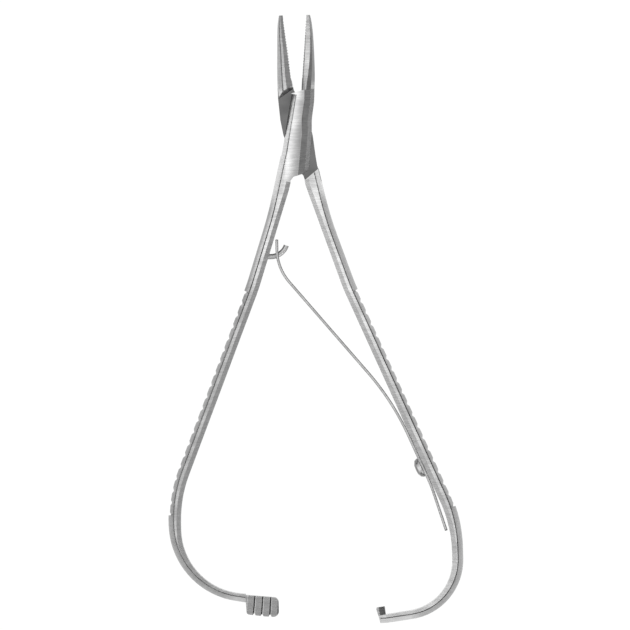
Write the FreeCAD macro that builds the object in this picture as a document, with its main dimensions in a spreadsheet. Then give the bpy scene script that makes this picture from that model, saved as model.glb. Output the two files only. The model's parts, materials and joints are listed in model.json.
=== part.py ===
import FreeCAD, Part
import math
import os

import Sketcher

# Palm-grip needle holder, 17 cm, lying on its back with its jaws towards +Y. Two steel halves cross in a box
# lock. The pivot is at the origin of each half's own plan. A leaf spring opens the handles, and a rack and a
# pawl at the handle ends hold them shut. Every length is in millimetres and every angle in degrees.

Vector = FreeCAD.Vector

SIZES = (
    ("body_depth", 7.0, "thickness of box, shanks and handles, front to back"),
    ("travel", 12.4, "angle that the handles close by, from rest to jaws shut"),
    ("edge_band", 1.35, "width of the rounded outer edge, seen from the front"),
    ("edge_drop", 0.12, "how far the rounded edge starts below the front face"),
    ("line_width", 0.45, "width of the engraved line inside the rounded edge"),
    ("line_depth", 0.4, "depth of the engraved line"),
    ("inner_band", 1.2, "width of the slope along the inner edge"),
    ("inner_drop", 0.2, "height of the slope along the inner edge"),
    ("scallop_pitch", 3.5, "length of one bump of the grip"),
    ("scallop_count", 19, "bumps on each grip"),
    ("scallop_depth", 0.5, "depth of the valleys between the bumps"),
    ("scallop_setin", 0.3, "how far the bumps' tops lie inside the smooth edge"),
    ("lock_clearance", 0.15, "room beside the tenon and round the box over the travel"),
    ("tenon_depth", 2.6, "thickness of the tenon"),
    ("tenon_play", 0.06, "room between the tenon and each cheek"),
    ("rivet_radius", 1.15, "pivot rivet"),
    ("rivet_play", 0.04, "room between the rivet and the tenon's bore"),
    ("left_reach", 39.0, "left handle's widest point from the pivot line"),
    ("left_foot", 130.8, "level of the left handle's lower corner, measured where the side meets it"),
    ("left_side", 0.82, "straight part of the left handle's side, between its two bends"),
    ("left_wall", 3.5, "left handle's side, across"),
    ("left_bend", 40.0, "outer radius where the left grip turns straight"),
    ("left_grip_x", 15.53, "start of the left grip, sideways"),
    ("left_grip_y", 45.49, "start of the left grip, below the pivot"),
    ("left_knee", 103.7, "corner between the left grip and its straight side, below the pivot"),
    ("right_reach", 43.4, "right handle's widest point from the pivot line"),
    ("right_foot", 138.45, "level of the right handle's lower corner, measured where the side meets it"),
    ("right_side", 2.99, "straight part of the right handle's side, between its two bends"),
    ("right_wall", 3.1, "right handle's side, across"),
    ("right_bend", 40.0, "outer radius where the right grip turns straight"),
    ("right_grip_x", 14.97, "start of the right grip, sideways"),
    ("right_grip_y", 45.8, "start of the right grip, below the pivot"),
    ("right_knee", 112.5, "corner between the right grip and its straight side, below the pivot"),
    ("grip_width", 3.67, "grip across, from smooth edge to inner face"),
    ("rack_face", 0.6, "level of the rack's face above the middle of the depth"),
    ("rack_depth", 0.8, "depth of the rack's grooves"),
    ("rack_pitch", 0.955, "angle from groove to groove of the rack, about the pivot"),
    ("rack_first", 3.69, "angle of the rack's groove nearest the pawl"),
    ("pawl_play", 0.15, "room between the pawl and the rack's face"),
    ("jaw_length", 29.75, "from the pivot to the jaw tips"),
    ("serration_pitch", 0.8, "jaw teeth, from tooth to tooth"),
    ("serration_start", 12.0, "from the pivot to the first tooth"),
    ("serration_margin", 0.45, "smooth end of each jaw beyond its last tooth"),
    ("serration_depth", 0.2, "depth of the jaw teeth"),
    ("spring_thick", 0.8, "leaf spring"),
    ("spring_width", 4.6, "leaf spring across, at its screw"),
    ("spring_tip_width", 3.4, "leaf spring across, at its free end"),
    ("spring_reach", 33.0, "free end of the spring below the pivot"),
    ("spring_bridge", 2.0, "metal left between the spring's slot and its free end"),
    ("spring_slot", 5.6, "length of the slot that the horn goes through"),
    ("spring_slot_width", 2.0, "width of that slot"),
    ("spring_taper", 46.0, "length over which the spring narrows"),
    ("screw_back", 9.69, "spring screw, measured back along the grip from the start of its bend"),
    ("spring_lift", 29.83, "where the spring leaves the grip, measured back from the start of its bend"),
    ("tail_back", 3.84, "where the spring's tail turns, measured back from the start of the grip's bend"),
    ("tail_turn", 6.0, "turn of the spring's tail from the grip"),
    ("tail_length", 13.2, "length of the spring's tail"),
    ("screw_shank", 1.25, "radius of the spring screw's threaded part"),
    ("seat_gap", 0.04, "room between the spring and the grip it lies on"),
    ("head_gap", 0.01, "room between the spring and the screw's head"),
    ("hole_room", 0.1, "room round the spring screw in the spring's hole"),
    ("screw_bite", 2.6, "how far the spring screw goes into the handle"),
    ("screw_head", 2.8, "radius of the spring screw's head"),
    ("screw_dome", 1.75, "height of the spring screw's head"),
    ("screw_slot", 0.7, "width of the spring screw's slot"),
    ("screw_slot_depth", 0.9, "depth of that slot"),
    ("horn_radius", 0.75, "retaining horn"),
    ("horn_stem", 1.4, "straight part of the horn, from its root in the shank"),
    ("horn_bend", 4.6, "radius of the horn's bend"),
    ("horn_angle", 70, "angle of the horn's bend"),
)

doc = FreeCAD.newDocument("needle_holder")
sheet = doc.addObject("Spreadsheet::Sheet", "sizes")
for row, (alias, value, meaning) in enumerate(SIZES, start=1):
    sheet.set(f"A{row}", alias.replace("_", " "))
    sheet.set(f"B{row}", str(value))
    sheet.setAlias(f"B{row}", alias)
    sheet.set(f"C{row}", meaning)
doc.recompute()
size = {alias: float(sheet.get(alias)) for alias, _, _ in SIZES}
HALF = size["body_depth"] / 2
THROUGH = 3 * size["body_depth"]


def rounded(corners):
    """Lines and tangent arcs along corners (x, y, radius); the first and last corner stay sharp."""
    pieces = []
    start = Vector(corners[0][0], corners[0][1], 0)
    for (ax, ay, _), (bx, by, radius), (cx, cy, _) in zip(corners, corners[1:], corners[2:]):
        a, b, c = Vector(ax, ay, 0), Vector(bx, by, 0), Vector(cx, cy, 0)
        before = (b - a).normalize()
        after = (c - b).normalize()
        turn = before.getAngle(after)
        if radius == 0 or turn < 1e-6:
            pieces.append(Part.LineSegment(start, b))
            start = b
            continue
        setback = radius * math.tan(turn / 2)
        first = b - before * setback
        last = b + after * setback
        inward = (after - before).normalize()
        middle = b + inward * (radius / math.cos(turn / 2) - radius)
        pieces.append(Part.LineSegment(start, first))
        pieces.append(Part.Arc(first, middle, last))
        start = last
    pieces.append(Part.LineSegment(start, Vector(corners[-1][0], corners[-1][1], 0)))
    return pieces


def closed(corners):
    """Lines and tangent arcs round a closed outline; it starts in the middle of its last side."""
    ax, ay, _ = corners[-1]
    bx, by, _ = corners[0]
    middle = ((ax + bx) / 2, (ay + by) / 2, 0)
    return rounded([middle, *corners, middle])


def turned(point, angle):
    """A plan point turned about the pivot by an angle in degrees."""
    a = math.radians(angle)
    x, y = point[0], point[1]
    return (x * math.cos(a) - y * math.sin(a), x * math.sin(a) + y * math.cos(a))


def grown(points, room):
    """A closed outline moved outwards by room, each corner along its two sides' normals."""
    area = sum(a[0] * b[1] - b[0] * a[1] for a, b in zip(points, points[1:] + points[:1]))
    side = room if area > 0 else -room
    result = []
    for a, b, c in zip(points[-1:] + points[:-1], points, points[1:] + points[:1]):
        u = Vector(b[0] - a[0], b[1] - a[1], 0).normalize()
        w = Vector(c[0] - b[0], c[1] - b[1], 0).normalize()
        nu, nw = Vector(u.y, -u.x, 0), Vector(w.y, -w.x, 0)
        shift = (nu + nw) * (side / (1 + nu.dot(nw)))
        result.append((b[0] + shift.x, b[1] + shift.y))
    return result


def origin_plane(body, role):
    """One of a body's own origin planes or axes."""
    return next(item for item in body.Origin.OriginFeatures if item.Role == role)


def sketch_on(body, name, role, offset=None):
    """An empty sketch on an origin plane of its body."""
    sketch = body.newObject("Sketcher::SketchObject", name)
    sketch.AttachmentSupport = [(origin_plane(body, role), "")]
    sketch.MapMode = "FlatFace"
    if offset is not None:
        sketch.AttachmentOffset = offset
    return sketch


def draw(sketch, pieces, loop=True):
    """Puts a chain of lines and arcs into a sketch, tied end to end."""
    ends = []
    already = sketch.GeometryCount
    for piece in pieces:
        sketch.addGeometry(piece, False)
        first, last = piece.StartPoint, piece.EndPoint
        middle = piece.value((piece.FirstParameter + piece.LastParameter) / 2)
        clockwise = (middle - first).cross(last - middle).z < -1e-9
        ends.append((2, 1) if clockwise else (1, 2))
    links = list(zip(range(len(pieces)), range(1, len(pieces))))
    if loop:
        links.append((len(pieces) - 1, 0))
    for a, b in links:
        joined = Sketcher.Constraint("Coincident", already + a, ends[a][1], already + b, ends[b][0])
        sketch.addConstraint(joined)
    return sketch


def polygon(sketch, points):
    """A closed polygon in a sketch."""
    ring = [Vector(p[0], p[1], 0) for p in points]
    return draw(sketch, [Part.LineSegment(a, b) for a, b in zip(ring, ring[1:] + ring[:1])])


def pad(body, sketch, name, length, bound=None):
    """A pad to both sides of its sketch."""
    feature = body.newObject("PartDesign::Pad", name)
    feature.Profile = sketch
    feature.SideType = "Symmetric"
    feature.Length = length
    if bound:
        feature.setExpression("Length", bound)
    return feature


def pocket(body, sketch, name, length, both=True, bound=None, reverse=False):
    """A pocket from its sketch, to both sides or to one."""
    feature = body.newObject("PartDesign::Pocket", name)
    feature.Profile = sketch
    feature.Length = length
    if both:
        feature.SideType = "Symmetric"
    feature.Reversed = reverse
    if bound:
        feature.setExpression("Length", bound)
    return feature


def across(point, heading, hand):
    """Sketch offset on the XZ plane: square to a path at a plan point, with x outwards for hand +1."""
    turn = FreeCAD.Rotation(Vector(0, 1, 0), hand * heading)
    return FreeCAD.Placement(Vector(point[0], 0, -point[1]), turn)


def sweep_cut(body, path, profile, name):
    """Cuts a profile along a whole path."""
    doc.recompute()
    feature = body.newObject("PartDesign::SubtractivePipe", name)
    feature.Profile = profile
    feature.Spine = (path, [f"Edge{i + 1}" for i in range(len(path.Shape.Edges))])
    feature.Mode = "Binormal"
    feature.Binormal = Vector(0, 0, 1)
    return feature


EDGE_RISE = HALF - size["edge_drop"]
CROWN = (size["edge_band"] ** 2 + EDGE_RISE**2) / (2 * size["edge_band"])


def outer_edge(body, hand, corners):
    """Rounds the outer edge of a half and engraves the line beside it, front and back."""
    path = draw(sketch_on(body, "outer_path", "XY_Plane"), rounded(corners), loop=False)
    (ax, ay, _), (bx, by, _) = corners[:2]
    heading = math.degrees(math.atan2(hand * (bx - ax), ay - by))
    profile = sketch_on(body, "outer_profile", "XZ_Plane", across((ax, ay), heading, hand))
    band, line = size["edge_band"], size["line_width"]
    top = HALF + 1
    floor = HALF - size["line_depth"]

    def at(n, z):
        return Vector(hand * n, z, 0)

    wall = at(-band - line, top)
    notch = at(-band - line / 2, floor)
    edge = at(-band, EDGE_RISE)
    edge_back = at(-band, -EDGE_RISE)
    notch_back = at(-band - line / 2, -floor)
    wall_back = at(-band - line, -top)
    outside = 3.0
    draw(profile, [
        Part.LineSegment(wall, notch),
        Part.LineSegment(notch, edge),
        Part.Arc(edge, at(0, 0), edge_back),
        Part.LineSegment(edge_back, notch_back),
        Part.LineSegment(notch_back, wall_back),
        Part.LineSegment(wall_back, at(outside, -top)),
        Part.LineSegment(at(outside, -top), at(outside, top)),
        Part.LineSegment(at(outside, top), wall),
    ])
    return sweep_cut(body, path, profile, "outer_edge")


def inner_edge(body, hand, corners):
    """Slopes the inner edge of a half, front and back."""
    path = draw(sketch_on(body, "inner_path", "XY_Plane"), rounded(corners), loop=False)
    (ax, ay, _), (bx, by, _) = corners[:2]
    heading = math.degrees(math.atan2(hand * (bx - ax), ay - by))
    profile = sketch_on(body, "inner_profile", "XZ_Plane", across((ax, ay), heading, hand))
    slope = size["inner_drop"] / size["inner_band"]
    over, under, past = 0.4, 0.1, 0.8
    high = HALF + over * slope
    low = HALF - size["inner_drop"] - under * slope
    polygon(profile, [
        (hand * (size["inner_band"] + over), high),
        (-hand * under, low),
        (-hand * under, -low),
        (hand * (size["inner_band"] + over), -high),
        (-hand * past, -high),
        (-hand * past, high),
    ])
    return sweep_cut(body, path, profile, "inner_edge")


def scallop(body, name, hand, point, heading):
    """Turns one bump of the grip: point is on the smooth edge, at the bump's middle."""
    a = math.radians(heading)
    outward = Vector(hand * math.cos(a), math.sin(a), 0)
    axis_point = Vector(point[0], point[1], 0) - outward * CROWN
    turn = FreeCAD.Rotation(Vector(0, 0, 1), -hand * (90 - heading))
    sketch = sketch_on(body, name + "_profile", "XY_Plane", FreeCAD.Placement(axis_point, turn))
    top = CROWN - size["scallop_setin"]
    valley = top - size["scallop_depth"]
    reach = size["scallop_pitch"] / 2
    lean, clear = 0.3, CROWN + 1.2
    crest = size["scallop_pitch"] * 0.27
    polygon(sketch, [
        (-reach, valley),
        (-crest, valley + (top - valley) * 0.86),
        (crest, valley + (top - valley) * 0.86),
        (reach, valley),
        (reach + lean, clear),
        (-reach - lean, clear),
    ])
    groove = body.newObject("PartDesign::Groove", name)
    groove.Profile = sketch
    groove.ReferenceAxis = (sketch, ["H_Axis"])
    groove.Midplane = True
    rim = math.degrees(math.atan2(EDGE_RISE - size["line_depth"] / 2, CROWN - size["edge_band"]))
    groove.Angle = 2 * rim
    body.Tip = groove
    doc.recompute()
    return groove, sketch


def along_grip(hand, start, knee, bend):
    """The straight grip's heading, where its bumps start, how many fit on it, and its bend's centre."""
    run = Vector(knee[0] - start[0], knee[1] - start[1], 0)
    heading = math.degrees(math.atan2(hand * run.x, -run.y))
    lead = 1.85
    setback = bend * math.tan(math.radians(heading) / 2)
    direction = run.normalize()
    straight = (Vector(knee[0], knee[1], 0) - Vector(start[0], start[1], 0)).Length - setback - lead
    on_line = int(min(size["scallop_count"], straight // size["scallop_pitch"]))
    begin = Vector(start[0], start[1], 0) + direction * lead
    centre = Vector(knee[0] - hand * bend, knee[1] - setback, 0)
    return heading, direction, begin, on_line, centre


def scallops(body, hand, start, knee, bend):
    """All bumps of one grip: a row on its straight part, and the rest round its bend."""
    heading, direction, begin, on_line, centre = along_grip(hand, start, knee, bend)
    pitch = size["scallop_pitch"]
    first = begin + direction * (pitch / 2)
    groove, sketch = scallop(body, "bump", hand, (first.x, first.y), heading)
    row = body.newObject("PartDesign::LinearPattern", "bump_row")
    row.Originals = [groove]
    row.Direction = (sketch, ["H_Axis"])
    row.Reversed = hand < 0
    row.Length = pitch * (on_line - 1)
    row.setExpression("Length", f"sizes.scallop_pitch * {on_line - 1}")
    row.Occurrences = on_line
    body.Tip = row
    doc.recompute()
    rest = int(size["scallop_count"]) - on_line
    if rest < 1:
        return row
    step = math.degrees(pitch / bend)
    line_end = Vector(knee[0], knee[1], 0) - direction * (bend * math.tan(math.radians(heading) / 2))
    left_over = (line_end - begin).Length - pitch * on_line
    travelled = math.degrees((pitch / 2 - left_over) / bend)
    spot_heading = heading - travelled
    a = math.radians(spot_heading)
    spot = centre + Vector(hand * math.cos(a), math.sin(a), 0) * bend
    groove, _ = scallop(body, "bend_bump", hand, (spot.x, spot.y), spot_heading)
    if rest == 1:
        return groove
    hub = sketch_on(body, "bend_hub", "XY_Plane", FreeCAD.Placement(centre, FreeCAD.Rotation()))
    hub.addGeometry(Part.Point(Vector(0, 0, 0)), True)
    doc.recompute()
    fan = body.newObject("PartDesign::PolarPattern", "bump_fan")
    fan.Originals = [groove]
    fan.Axis = (hub, ["N_Axis"])
    fan.Angle = step * (rest - 1)
    fan.Occurrences = rest
    fan.Reversed = hand > 0
    body.Tip = fan
    doc.recompute()
    return fan


def left_form(line):
    """Left jaw's section, inner to outer edge, in shares of width and height; line: its engraved line."""
    inner = [(0, 0.86), (line - 0.2, 0.99), (line, 1)]
    return [*inner, (line + 0.05, 0.86), (line + 0.1, 0.95), (0.93, 0.6), (1, 0.25)]


def right_form(flat):
    """Right jaw's section, inner to outer edge, in shares of width and height; flat: where its flat ends."""
    return [(0, 0.82), (0.13, 0.98), (flat, 1), (flat + 0.55 * (1 - flat), 0.75), (1, 0.35)]


def up_the_jaw(root, share):
    """Level of a jaw's cross-section, by its share of the way from the jaw's root to its tip."""
    return root + share * (size["jaw_length"] - root)


def jaw(body, hand, form, stations):
    """A jaw lofted through cross-sections (y, inner x, outer x, half depth, where the form's flat ends)."""
    sections = []
    for index, (y, inner, outer, high, flat) in enumerate(stations):
        offset = FreeCAD.Placement(Vector(0, 0, -y), FreeCAD.Rotation())
        sketch = sketch_on(body, f"jaw_section_{index}", "XZ_Plane", offset)
        front = [(hand * (inner + share * (outer - inner)), rise * high) for share, rise in form(flat)]
        back = [(x, -z) for x, z in reversed(front)]
        polygon(sketch, front + back)
        sections.append(sketch)
    doc.recompute()
    loft = body.newObject("PartDesign::AdditiveLoft", "jaw")
    loft.Profile = sections[0]
    loft.Sections = sections[1:]
    loft.Ruled = False
    return loft


def serrate(body, hand, near, far):
    """Cuts a row of fine teeth across a jaw's inner face, from near to far (inner x, y)."""
    pitch, depth = size["serration_pitch"], size["serration_depth"]
    run = Vector(far[0] - near[0], far[1] - near[1], 0)
    count = int(run.Length // pitch)
    tilt = math.degrees(math.atan2(run.x, run.y))
    place = FreeCAD.Placement(
        Vector(hand * near[0], near[1], 0), FreeCAD.Rotation(Vector(0, 0, 1), 90 - hand * tilt)
    )
    sketch = sketch_on(body, "serration_outline", "XY_Plane", place)
    clear = hand * 0.5
    deep = -hand * depth
    polygon(sketch, [(0, clear), (0, 0), (pitch * 0.45, deep), (pitch * 0.9, 0), (pitch * 0.9, clear)])
    tooth = pocket(body, sketch, "serration", THROUGH)
    checked(tooth, False)
    row = body.newObject("PartDesign::LinearPattern", "serrations")
    row.Originals = [tooth]
    row.Direction = (sketch, ["H_Axis"])
    row.Length = pitch * (count - 1)
    row.setExpression("Length", f"sizes.serration_pitch * {count - 1}")
    row.Occurrences = count
    body.Tip = row
    return checked(row, False)


# Plan outlines, seen from the front, in millimetres from the pivot: (x, y, corner radius).

LEFT_START = (-size["left_grip_x"], -size["left_grip_y"])
LEFT_KNEE = (-size["left_reach"], -size["left_knee"])
LEFT_FOOT = (-size["left_reach"], -size["left_foot"])
LEFT_BAR = (-17.87, LEFT_FOOT[1] - 3.75)
RIGHT_START = (size["right_grip_x"], -size["right_grip_y"])
RIGHT_KNEE = (size["right_reach"], -size["right_knee"])
RIGHT_FOOT = (size["right_reach"], -size["right_foot"])
RIGHT_BAR = (21.3, RIGHT_FOOT[1] - 2.82)


def heel_radius(start, knee, foot, bar, bend, straight):
    """Radius of a handle's lower bend: all that the grip's bend and a straight part leave of its side."""
    grip_turn = math.atan2(abs(knee[0] - start[0]), start[1] - knee[1])
    bar_turn = math.atan2(abs(foot[0] - bar[0]), foot[1] - bar[1])
    left_over = knee[1] - foot[1] - bend * math.tan(grip_turn / 2) - straight
    return left_over / math.tan(bar_turn / 2)


LEFT_HEEL = heel_radius(
    LEFT_START, LEFT_KNEE, LEFT_FOOT, LEFT_BAR, size["left_bend"], size["left_side"],
)
RIGHT_HEEL = heel_radius(
    RIGHT_START, RIGHT_KNEE, RIGHT_FOOT, RIGHT_BAR, size["right_bend"], size["right_side"],
)

LEFT_OUTER = [
    (-1.75, 7.7, 0),
    (-4.8, -8.5, 40),
    (-9.0, -25.8, 100),
    (*LEFT_START, 60),
    (*LEFT_KNEE, size["left_bend"]),
    (*LEFT_FOOT, LEFT_HEEL),
    (*LEFT_BAR, 0),
]
RIGHT_OUTER = [
    (5.548, -13.35, 0),
    (8.4, -26.6, 100),
    (*RIGHT_START, 60),
    (*RIGHT_KNEE, size["right_bend"]),
    (*RIGHT_FOOT, RIGHT_HEEL),
    (*RIGHT_BAR, 10),
    (19.75, RIGHT_BAR[1], 0),
]


def inside_of(start, knee, hand):
    """The grip's inner face: the outer line moved inwards by the grip's width."""
    run = Vector(knee[0] - start[0], knee[1] - start[1], 0).normalize()
    inward = Vector(run.y, -run.x, 0) * hand
    moved = Vector(start[0], start[1], 0) + inward * size["grip_width"]
    return moved, run


def inner_corner(start, knee, hand, x):
    """Where the grip's inner face reaches a given x."""
    moved, run = inside_of(start, knee, hand)
    return moved.y + run.y * (x - moved.x) / run.x


LEFT_INNER_X = -(size["left_reach"] - size["left_wall"])
RIGHT_INNER_X = size["right_reach"] - size["right_wall"]
LEFT_TOP, _ = inside_of(LEFT_START, LEFT_KNEE, -1)
RIGHT_TOP, _ = inside_of(RIGHT_START, RIGHT_KNEE, 1)
LEFT_INNER = [
    (-2.45, -17.1, 0),
    (-3.0, -19.3, 6),
    (LEFT_TOP.x, LEFT_TOP.y, 40),
    (LEFT_INNER_X, inner_corner(LEFT_START, LEFT_KNEE, -1, LEFT_INNER_X), size["left_bend"] - 4),
    (LEFT_INNER_X, LEFT_FOOT[1] + 0.6, LEFT_HEEL - 3.9),
    (LEFT_BAR[0], LEFT_BAR[1] + 2.39, 0),
]
RIGHT_INNER = [
    (1.5, -16.6, 0),
    (1.75, -18.1, 6),
    (RIGHT_TOP.x, RIGHT_TOP.y, 40),
    (RIGHT_INNER_X, inner_corner(RIGHT_START, RIGHT_KNEE, 1, RIGHT_INNER_X), size["right_bend"] - 4),
    (RIGHT_INNER_X, RIGHT_FOOT[1] + 2.15, RIGHT_HEEL - 2.8),
    (RIGHT_BAR[0], RIGHT_BAR[1] + 2.42, 0),
]


def placed(point, normal):
    """A sketch offset at a point of the model, with the sketch's normal along a direction in the plan."""
    direction = Vector(normal[0], normal[1], 0).normalize()
    upright = Vector(0, 0, 1)
    side = upright.cross(direction)
    return FreeCAD.Placement(
        Vector(point[0], point[1], point[2] if len(point) > 2 else 0),
        FreeCAD.Rotation(side, upright, direction, "ZXY"),
    )


def circle_on(body, name, offset, radius_name, extra=0.0):
    """A circle about the origin of a sketch, its radius held to a size in the sheet."""
    sketch = sketch_on(body, name, "XY_Plane", offset)
    sketch.addGeometry(Part.Circle(Vector(0, 0, 0), Vector(0, 0, 1), size[radius_name] + extra), False)
    sketch.addConstraint(Sketcher.Constraint("Coincident", 0, 3, -1, 1))
    index = sketch.addConstraint(Sketcher.Constraint("Radius", 0, size[radius_name] + extra))
    sketch.setExpression(f"Constraints[{index}]", f"sizes.{radius_name} + {extra}")
    return sketch


def checked(feature, grows):
    """Stops the build when a feature did nothing or went wrong."""
    doc.recompute()
    if "Invalid" in feature.State or "Error" in feature.State:
        raise RuntimeError(f"{feature.Name} failed: {feature.State}")
    before = feature.BaseFeature.Shape.Volume if feature.BaseFeature else 0.0
    change = feature.Shape.Volume - before
    if (change > 1e-4) != grows or abs(change) < 1e-4:
        raise RuntimeError(f"{feature.Name} changed the volume by {change:.4f}")
    return feature


# The tenon's outline with the handles open. The box's slot follows it over the whole travel.

TENON = [
    (-5.4, 6.6), (-4.89, 0.4), (-4.15, -3.74), (-2.8, -8.0), (-0.6, -13.0), (1.2, -15.3), (1.75, -17.2),
    (6.0, -15.5), (5.14, -12.6), (4.72, -9.64), (4.07, -4.0), (3.4, -1.0), (1.5, 4.0), (-0.9, 8.75),
    (-1.4, 11.5), (-5.2, 11.5),
]

# Box half: the left handle, the two cheeks of the box and the right jaw.

box = doc.addObject("PartDesign::Body", "box_half")
BOX_SIDE = [(4.9, 9.0, 0), (4.73, 5.49, 6), (3.93, 0.46, 12), (3.84, -3.45, 20), (2.69, -13.73, 0)]
box_outline = [
    *LEFT_OUTER,
    *reversed(LEFT_INNER),
    (-2.5, -16.6, 0),
    (-1.6, -15.45, 0),
    (0.69, -14.85, 0),
    *reversed(BOX_SIDE),
    (1.3, 8.6, 0),
]
outline = draw(sketch_on(box, "box_outline", "XY_Plane"), closed(box_outline))
checked(pad(box, outline, "box_blank", size["body_depth"], "sizes.body_depth"), True)

RIGHT_ROOT = 11.4
RIGHT_JAW = [
    (7.9, 1.2, 4.8, HALF - 0.15, 0.36),
    (RIGHT_ROOT, 1.43, 5.04, HALF - 0.5, 0.41),
    (up_the_jaw(RIGHT_ROOT, 0.30518), 1.93, 5.09, HALF - 1.0, 0.56),
    (up_the_jaw(RIGHT_ROOT, 0.61035), 2.46, 4.95, HALF - 1.5, 0.62),
    (up_the_jaw(RIGHT_ROOT, 0.83924), 2.81, 4.66, HALF - 2.0, 0.64),
    (size["jaw_length"], 3.1, 4.15, HALF - 2.4, 0.64),
]
checked(jaw(box, 1, right_form, RIGHT_JAW), True)
last_tooth = size["jaw_length"] - size["serration_margin"]
serrate(box, 1, (1.49, size["serration_start"]), (3.06, last_tooth))

rack = [
    (-18.9, -132.35, 0),
    (-8.69, -133.45, 1.3),
    (-8.69, -138.75, 1.5),
    (-10.7, -138.75, 0),
    (-11.16, -138.0, 0),
    (-11.6, -138.65, 0),
    (-12.95, -138.55, 0),
    (-13.39, -137.8, 0),
    (-13.8, -138.4, 0),
    (-15.2, -138.2, 0),
    (-15.6, -137.5, 0),
    (-16.0, -138.1, 0),
    (-17.75, -137.85, 0.9),
    (-17.87, -134.3, 0),
    (-18.9, -134.3, 0),
]
base = FreeCAD.Placement(Vector(0, 0, -HALF), FreeCAD.Rotation())
rack_sketch = draw(sketch_on(box, "rack_outline", "XY_Plane", base), closed(rack))
block = box.newObject("PartDesign::Pad", "rack_block")
block.Profile = rack_sketch
block.Length = HALF + size["rack_face"]
block.setExpression("Length", "sizes.body_depth / 2 + sizes.rack_face")
checked(block, True)

groove_at = turned((0, -135.7), -size["rack_first"])
tooth = sketch_on(box, "rack_groove", "XZ_Plane", across(groove_at, size["rack_first"], -1))
face, deep = size["rack_face"], size["rack_face"] - size["rack_depth"]
above = face + 0.6
polygon(tooth, [
    (-1.85, face), (-0.18, face - 0.2), (-0.14, deep), (0.12, deep), (0.18, face), (0.18, above),
    (-1.85, above),
])
groove = pocket(box, tooth, "rack_tooth", 9.0)
checked(groove, False)
teeth = box.newObject("PartDesign::PolarPattern", "rack_teeth")
teeth.Originals = [groove]
teeth.Axis = (origin_plane(box, "Z_Axis"), [""])
teeth.setExpression("Angle", "3 * sizes.rack_pitch")
teeth.Occurrences = 4
teeth.Reversed = True
box.Tip = teeth
checked(teeth, False)

SIDE_TOP = (5.0, 11.0)
side = draw(
    sketch_on(box, "side_path", "XY_Plane"),
    rounded([(*SIDE_TOP, 0), *BOX_SIDE[1:-1], (2.45, -15.9, 0)]),
    loop=False,
)
side_heading = math.degrees(math.atan2(BOX_SIDE[1][0] - SIDE_TOP[0], SIDE_TOP[1] - BOX_SIDE[1][1]))
side_profile = sketch_on(box, "side_profile", "XZ_Plane", across(SIDE_TOP, side_heading, 1))
facets = [(-3.1, HALF + 0.1), (-2.8, HALF), (-1.12, HALF - 0.45), (0.25, HALF / 2)]
polygon(side_profile, [*facets, (1.6, HALF / 2), (1.6, HALF + 0.7), (-3.1, HALF + 0.7)])
checked(sweep_cut(box, side, side_profile, "side_facet"), False)

checked(outer_edge(box, -1, LEFT_OUTER), False)
checked(inner_edge(box, -1, LEFT_INNER), False)

slot = polygon(sketch_on(box, "slot_outline", "XY_Plane"), grown(TENON, size["lock_clearance"]))
slot_depth = size["tenon_depth"] + 2 * size["tenon_play"]
first_slot = pocket(box, slot, "slot_at_rest", slot_depth, True, "sizes.tenon_depth + 2 * sizes.tenon_play")
checked(first_slot, False)
SLOT_STEPS = 4
swing = box.newObject("PartDesign::PolarPattern", "slot_over_travel")
swing.Originals = [first_slot]
swing.Axis = (origin_plane(box, "Z_Axis"), [""])
swing.setExpression("Angle", "sizes.travel")
swing.Occurrences = SLOT_STEPS
swing.Reversed = True
box.Tip = swing
checked(swing, False)
mouth = polygon(
    sketch_on(box, "mouth_outline", "XY_Plane"),
    [(-8.5, -3.0), (-8.5, -9.6), (-4.1, -9.6), (-3.9, -3.0)],
)
checked(pocket(box, mouth, "slot_mouth", slot_depth, True, "sizes.tenon_depth + 2 * sizes.tenon_play"), False)
bore = circle_on(box, "pivot_bore_circle", None, "rivet_radius")
checked(pocket(box, bore, "pivot_bore", THROUGH), False)
HORN_ROOT = (-9.8, -37.75)
seat = circle_on(box, "horn_seat_circle", placed(HORN_ROOT, (1, 0)), "horn_radius")
horn_seat = pocket(box, seat, "horn_seat", 3.0, both=False, reverse=True)
checked(horn_seat, False)
checked(scallops(box, -1, LEFT_START, LEFT_KNEE, size["left_bend"]), False)

# Tenon half: the right handle, the tenon through the box and the left jaw.

tenon = doc.addObject("PartDesign::Body", "tenon_half")
tenon_outline = [
    *RIGHT_OUTER,
    (19.5, -140.4, 0),
    (19.2, -139.1, 0),
    *reversed(RIGHT_INNER),
]
outline = draw(sketch_on(tenon, "handle_outline", "XY_Plane"), closed(tenon_outline))
checked(pad(tenon, outline, "handle_blank", size["body_depth"], "sizes.body_depth"), True)

plate = polygon(sketch_on(tenon, "tenon_outline", "XY_Plane"), TENON)
checked(pad(tenon, plate, "tenon_plate", size["tenon_depth"], "sizes.tenon_depth"), True)

LEFT_ROOT = 11.5
LEFT_JAW = [
    (6.1, 1.1, 5.36, HALF - 0.3, 0.6),
    (9.9, 1.3, 5.47, HALF - 0.4, 0.6),
    (LEFT_ROOT, 1.55, 5.49, HALF - 0.5, 0.6),
    (up_the_jaw(LEFT_ROOT, 0.31233), 1.99, 5.40, HALF - 1.0, 0.62),
    (up_the_jaw(LEFT_ROOT, 0.61918), 2.66, 5.24, HALF - 1.5, 0.66),
    (up_the_jaw(LEFT_ROOT, 0.84932), 3.23, 5.02, HALF - 2.0, 0.68),
    (size["jaw_length"], 3.5, 4.6, HALF - 2.4, 0.68),
]
checked(jaw(tenon, -1, left_form, LEFT_JAW), True)
serrate(tenon, -1, (1.58, size["serration_start"]), (3.45, last_tooth))
JAW_FOOT = ((-5.46, 6.2), (-1.1, 9.1))
(ax, ay), (bx, by) = JAW_FOOT
foot = sketch_on(tenon, "jaw_foot_profile", "XY_Plane", placed((ax, ay), (bx - ax, by - ay)))
cheek = size["tenon_depth"] / 2
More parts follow.
